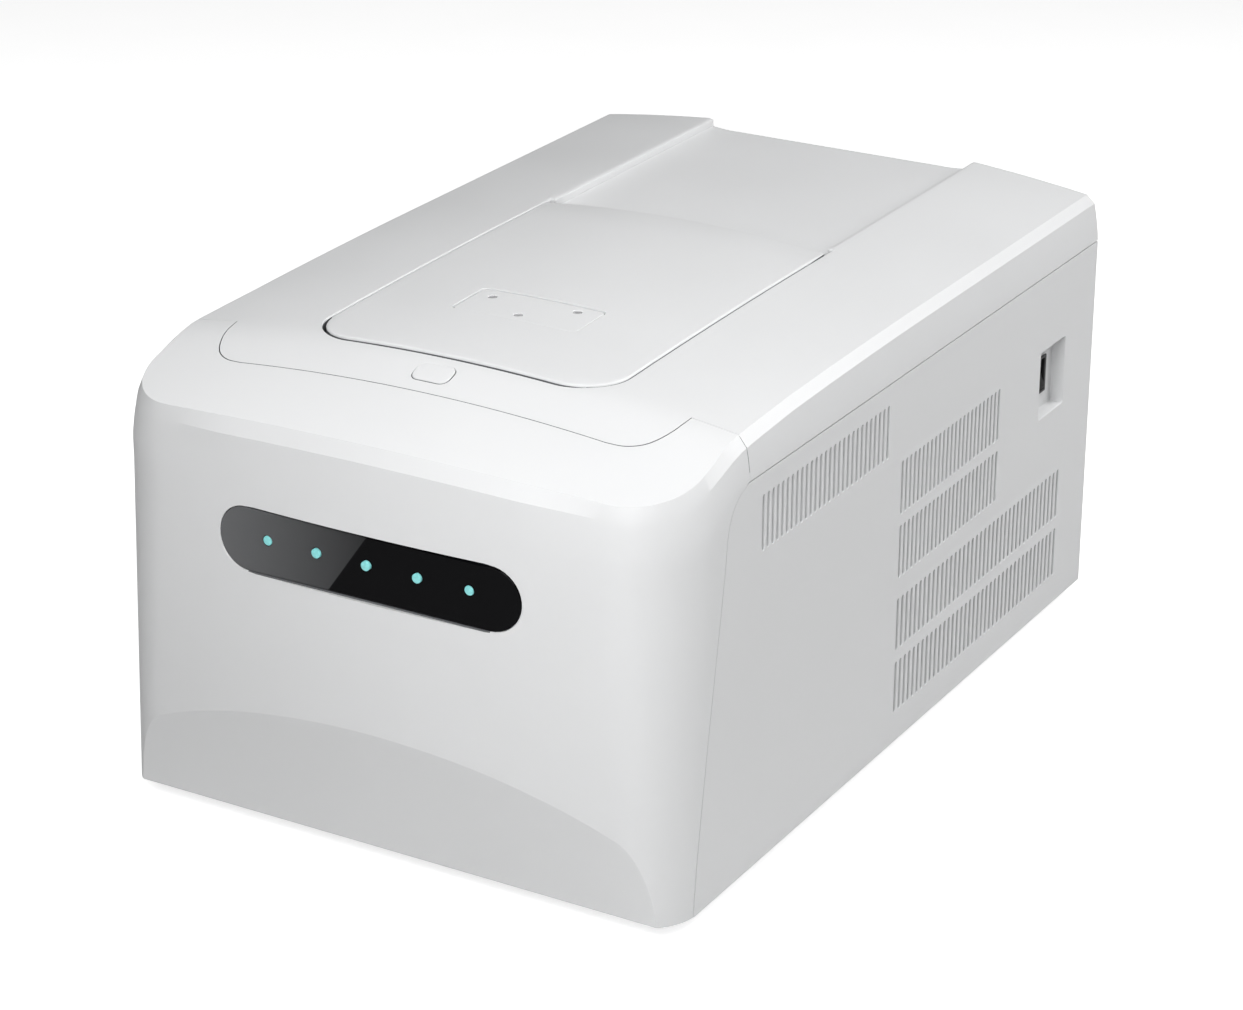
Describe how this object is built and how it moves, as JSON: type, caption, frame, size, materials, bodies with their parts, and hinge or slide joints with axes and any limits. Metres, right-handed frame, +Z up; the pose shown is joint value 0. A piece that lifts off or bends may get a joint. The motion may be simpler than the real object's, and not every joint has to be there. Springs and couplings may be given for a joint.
{
  "type": "thermal cycler",
  "caption": "Bench-top thermal cycler: moulded housing, hinged heated lid over a well block, push-button latch, front status window, vented sides, power rocker.",
  "frame": {"origin": "middle of the footprint, at the underside of the feet", "axes": "+Z up, front face with the status window towards -Y, length along Y, width along X"},
  "size_m": [0.325, 0.492, 0.2525],
  "materials": {
    "shell_white": "fine satin texture, cool white",
    "window_black": "gloss black printed window",
    "light_cyan": "translucent pale cyan lens",
    "board_green": "solder mask",
    "screw_light": "satin",
    "carrier_grey": "fine texture",
    "black_plastic": "fine texture",
    "steel": "ground",
    "galvanised": "zinc plated",
    "aluminium": "bead blasted",
    "ceramic": "ceramic plates of the heat pump",
    "rubber": "matt"
  },
  "bodies": {
    "chassis": {"base_plate": "galvanised", "bay_floor": "carrier_grey", "block_gasket": "rubber", "button_guide": "galvanised", "button_spring": "steel", "chassis_stand": "galvanised", "data_port": "galvanised", "foot_front_left": "rubber", "foot_front_right": "rubber", "foot_rear_left": "rubber", "foot_rear_right": "rubber", "front_fascia": "shell_white", "fuse_drawer": "black_plastic", "heat_sink": "aluminium", "hinge_bracket_left": "steel", "hinge_bracket_right": "steel", "hinge_pin_left": "steel", "hinge_pin_right": "steel", "indicator_board": "board_green", "indicator_light_1": "light_cyan", "indicator_light_2": "light_cyan", "indicator_light_3": "light_cyan", "indicator_light_4": "light_cyan", "indicator_light_5": "light_cyan", "indicator_window": "window_black", "latch_bracket": "galvanised", "latch_pin": "steel", "left_side_panel": "shell_white", "main_board": "board_green", "mains_inlet": "black_plastic", "power_supply": "galvanised", "rear_deck": "shell_white", "rear_fan_frame": "black_plastic", "rear_panel": "shell_white", "rear_screw_1": "steel", "rear_screw_2": "steel", "rear_screw_3": "steel", "rear_screw_4": "steel", "right_side_panel": "shell_white", "sample_block": "aluminium", "sink_fan_frame": "black_plastic", "switch_frame": "black_plastic", "thermal_module": "ceramic", "top_cover": "shell_white"},
    "lid": {"lid_panel": "shell_white", "lid_access_plate": "shell_white", "lid_screw_1": "screw_light", "lid_screw_2": "screw_light", "lid_screw_3": "screw_light", "lid_inner_frame": "carrier_grey", "strike_plate": "steel", "lid_spring_left": "steel", "lid_spring_right": "steel"},
    "heater": {"heated_plate": "aluminium"},
    "button": {"release_button": "shell_white"},
    "latch": {"latch_arm": "black_plastic"},
    "rocker": {"switch_rocker": "black_plastic"},
    "sink_rotor": {"sink_fan_rotor": "black_plastic"},
    "rear_rotor": {"rear_fan_rotor": "black_plastic"}
  },
  "joints": [
    {"name": "lid_hinge", "type": "hinge", "parent": "chassis", "child": "lid", "pos_m": [0, 0.045, 0.236], "axis": [-1, 0, 0], "range_deg": [0, 70]},
    {"name": "plate_slide", "type": "slide", "parent": "lid", "child": "heater", "axis": [0, 0, 1], "range_m": [0, 0.002], "stiffness_N_per_m": 2000, "springref_m": -0.002, "deforming": ["lid_spring_left", "lid_spring_right"]},
    {"name": "button_slide", "type": "slide", "parent": "chassis", "child": "button", "axis": [0, 0, -1], "range_m": [0, 0.003], "stiffness_N_per_m": 400, "springref_m": -0.0015, "deforming": ["button_spring"]},
    {"name": "latch_hinge", "type": "hinge", "parent": "chassis", "child": "latch", "pos_m": [0, -0.16, 0.199], "axis": [1, 0, 0], "range_deg": [0, 7.3]},
    {"name": "switch_hinge", "type": "hinge", "parent": "chassis", "child": "rocker", "pos_m": [0.1515, 0.1876, 0.1522], "axis": [0, 1, 0], "range_deg": [0, 16]},
    {"name": "sink_fan_spin", "type": "hinge", "parent": "chassis", "child": "sink_rotor", "pos_m": [0, -0.065, 0.105], "axis": [0, 0, 1], "continuous": true},
    {"name": "rear_fan_spin", "type": "hinge", "parent": "chassis", "child": "rear_rotor", "pos_m": [-0.08, 0.23, 0.112], "axis": [0, 1, 0], "continuous": true}
  ],
  "couplings": [
    {"joint": "latch_hinge", "follows": "button_slide", "rad_per_m": 41.49}
  ]
}
